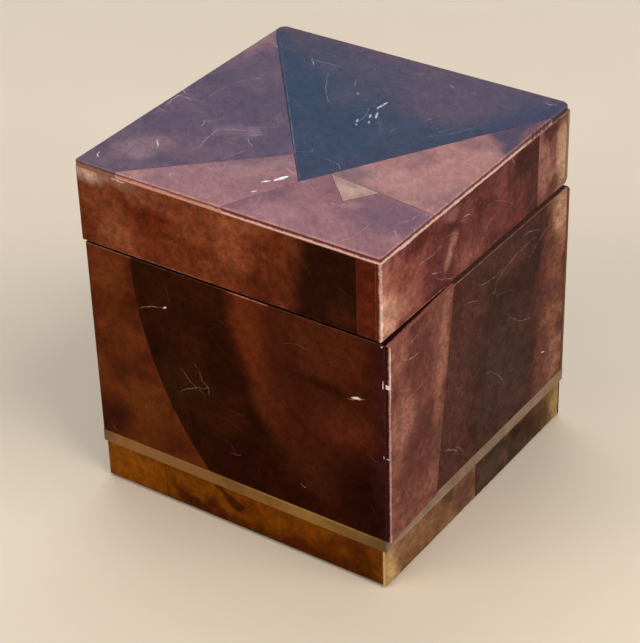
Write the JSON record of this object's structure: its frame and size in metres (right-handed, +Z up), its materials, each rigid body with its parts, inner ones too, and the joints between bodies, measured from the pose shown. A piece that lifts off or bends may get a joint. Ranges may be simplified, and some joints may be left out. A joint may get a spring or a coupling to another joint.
{
  "type": "dice box with hinged lid",
  "caption": "Square wooden dice box with a hinged lid, faced all over with polished brown shell tiles and a brass strip round the foot.",
  "frame": {"origin": "middle of the face that the box rests on, under the felt", "axes": "+X to the box's right, -Y to its front, +Z up; the hinge is along the back"},
  "size_m": [0.1041, 0.1016, 0.11],
  "materials": {
    "carcass_wood": "stained, sealed",
    "felt": "short dark felt",
    "shell_umber": "shell in polished resin, worn",
    "shell_dark": "shell in polished resin, worn",
    "shell_rose": "shell in polished resin, worn",
    "shell_slate": "shell in polished resin, worn",
    "shell_mauve": "shell in polished resin, worn",
    "shell_tan": "shell in polished resin, worn",
    "shell_amber": "shell in polished resin, worn",
    "aged_brass": "dull, oxidised",
    "hinge_brass": "satin"
  },
  "bodies": {
    "box": {"body_wall_front": "carcass_wood", "body_wall_right": "carcass_wood", "body_wall_back": "carcass_wood", "body_wall_left": "carcass_wood", "floor_board": "carcass_wood", "foot_felt": "felt", "floor_lining": "felt", "body_tile_front_left": "shell_umber", "body_tile_back_left": "shell_umber", "body_tile_left_back": "shell_umber", "body_tile_front_right": "shell_dark", "body_tile_right_back": "shell_dark", "body_tile_back_right": "shell_dark", "body_tile_left_front": "shell_dark", "body_tile_right_front": "shell_rose", "foot_tile_front_left": "shell_amber", "foot_tile_front_right": "shell_amber", "foot_tile_right_front": "shell_amber", "foot_tile_right_middle": "shell_amber", "foot_tile_right_back": "shell_amber", "foot_tile_back_right": "shell_amber", "foot_tile_back_left": "shell_amber", "foot_tile_left_whole": "shell_amber", "brass_strip_front": "aged_brass", "brass_strip_right": "aged_brass", "brass_strip_back": "aged_brass", "brass_strip_left": "aged_brass", "hinge_left_body_leaf": "hinge_brass", "hinge_left_pin": "hinge_brass", "hinge_right_body_leaf": "hinge_brass", "hinge_right_pin": "hinge_brass", "body_hinge_screws": "hinge_brass"},
    "lid": {"lid_wall_front": "carcass_wood", "lid_wall_right": "carcass_wood", "lid_wall_back": "carcass_wood", "lid_wall_left": "carcass_wood", "lid_board": "carcass_wood", "lid_lining": "felt", "lid_tile_front_left": "shell_umber", "lid_tile_front_right": "shell_umber", "lid_tile_left_back": "shell_umber", "lid_tile_back_right": "shell_umber", "lid_tile_right_front": "shell_rose", "lid_tile_right_back": "shell_rose", "lid_tile_back_left": "shell_rose", "lid_tile_left_front": "shell_rose", "top_tile_right": "shell_rose", "top_tile_front": "shell_rose", "top_tile_front_left": "shell_rose", "top_tile_back": "shell_slate", "top_tile_left": "shell_mauve", "top_tile_inlay": "shell_tan", "hinge_left_lid_leaf": "hinge_brass", "hinge_right_lid_leaf": "hinge_brass", "lid_hinge_screws": "hinge_brass"}
  },
  "joints": [
    {"name": "lid_hinge", "type": "hinge", "parent": "box", "child": "lid", "pos_m": [0, 0.0493, 0.0836], "axis": [-1, 0, 0], "range_deg": [0, 100]}
  ]
}
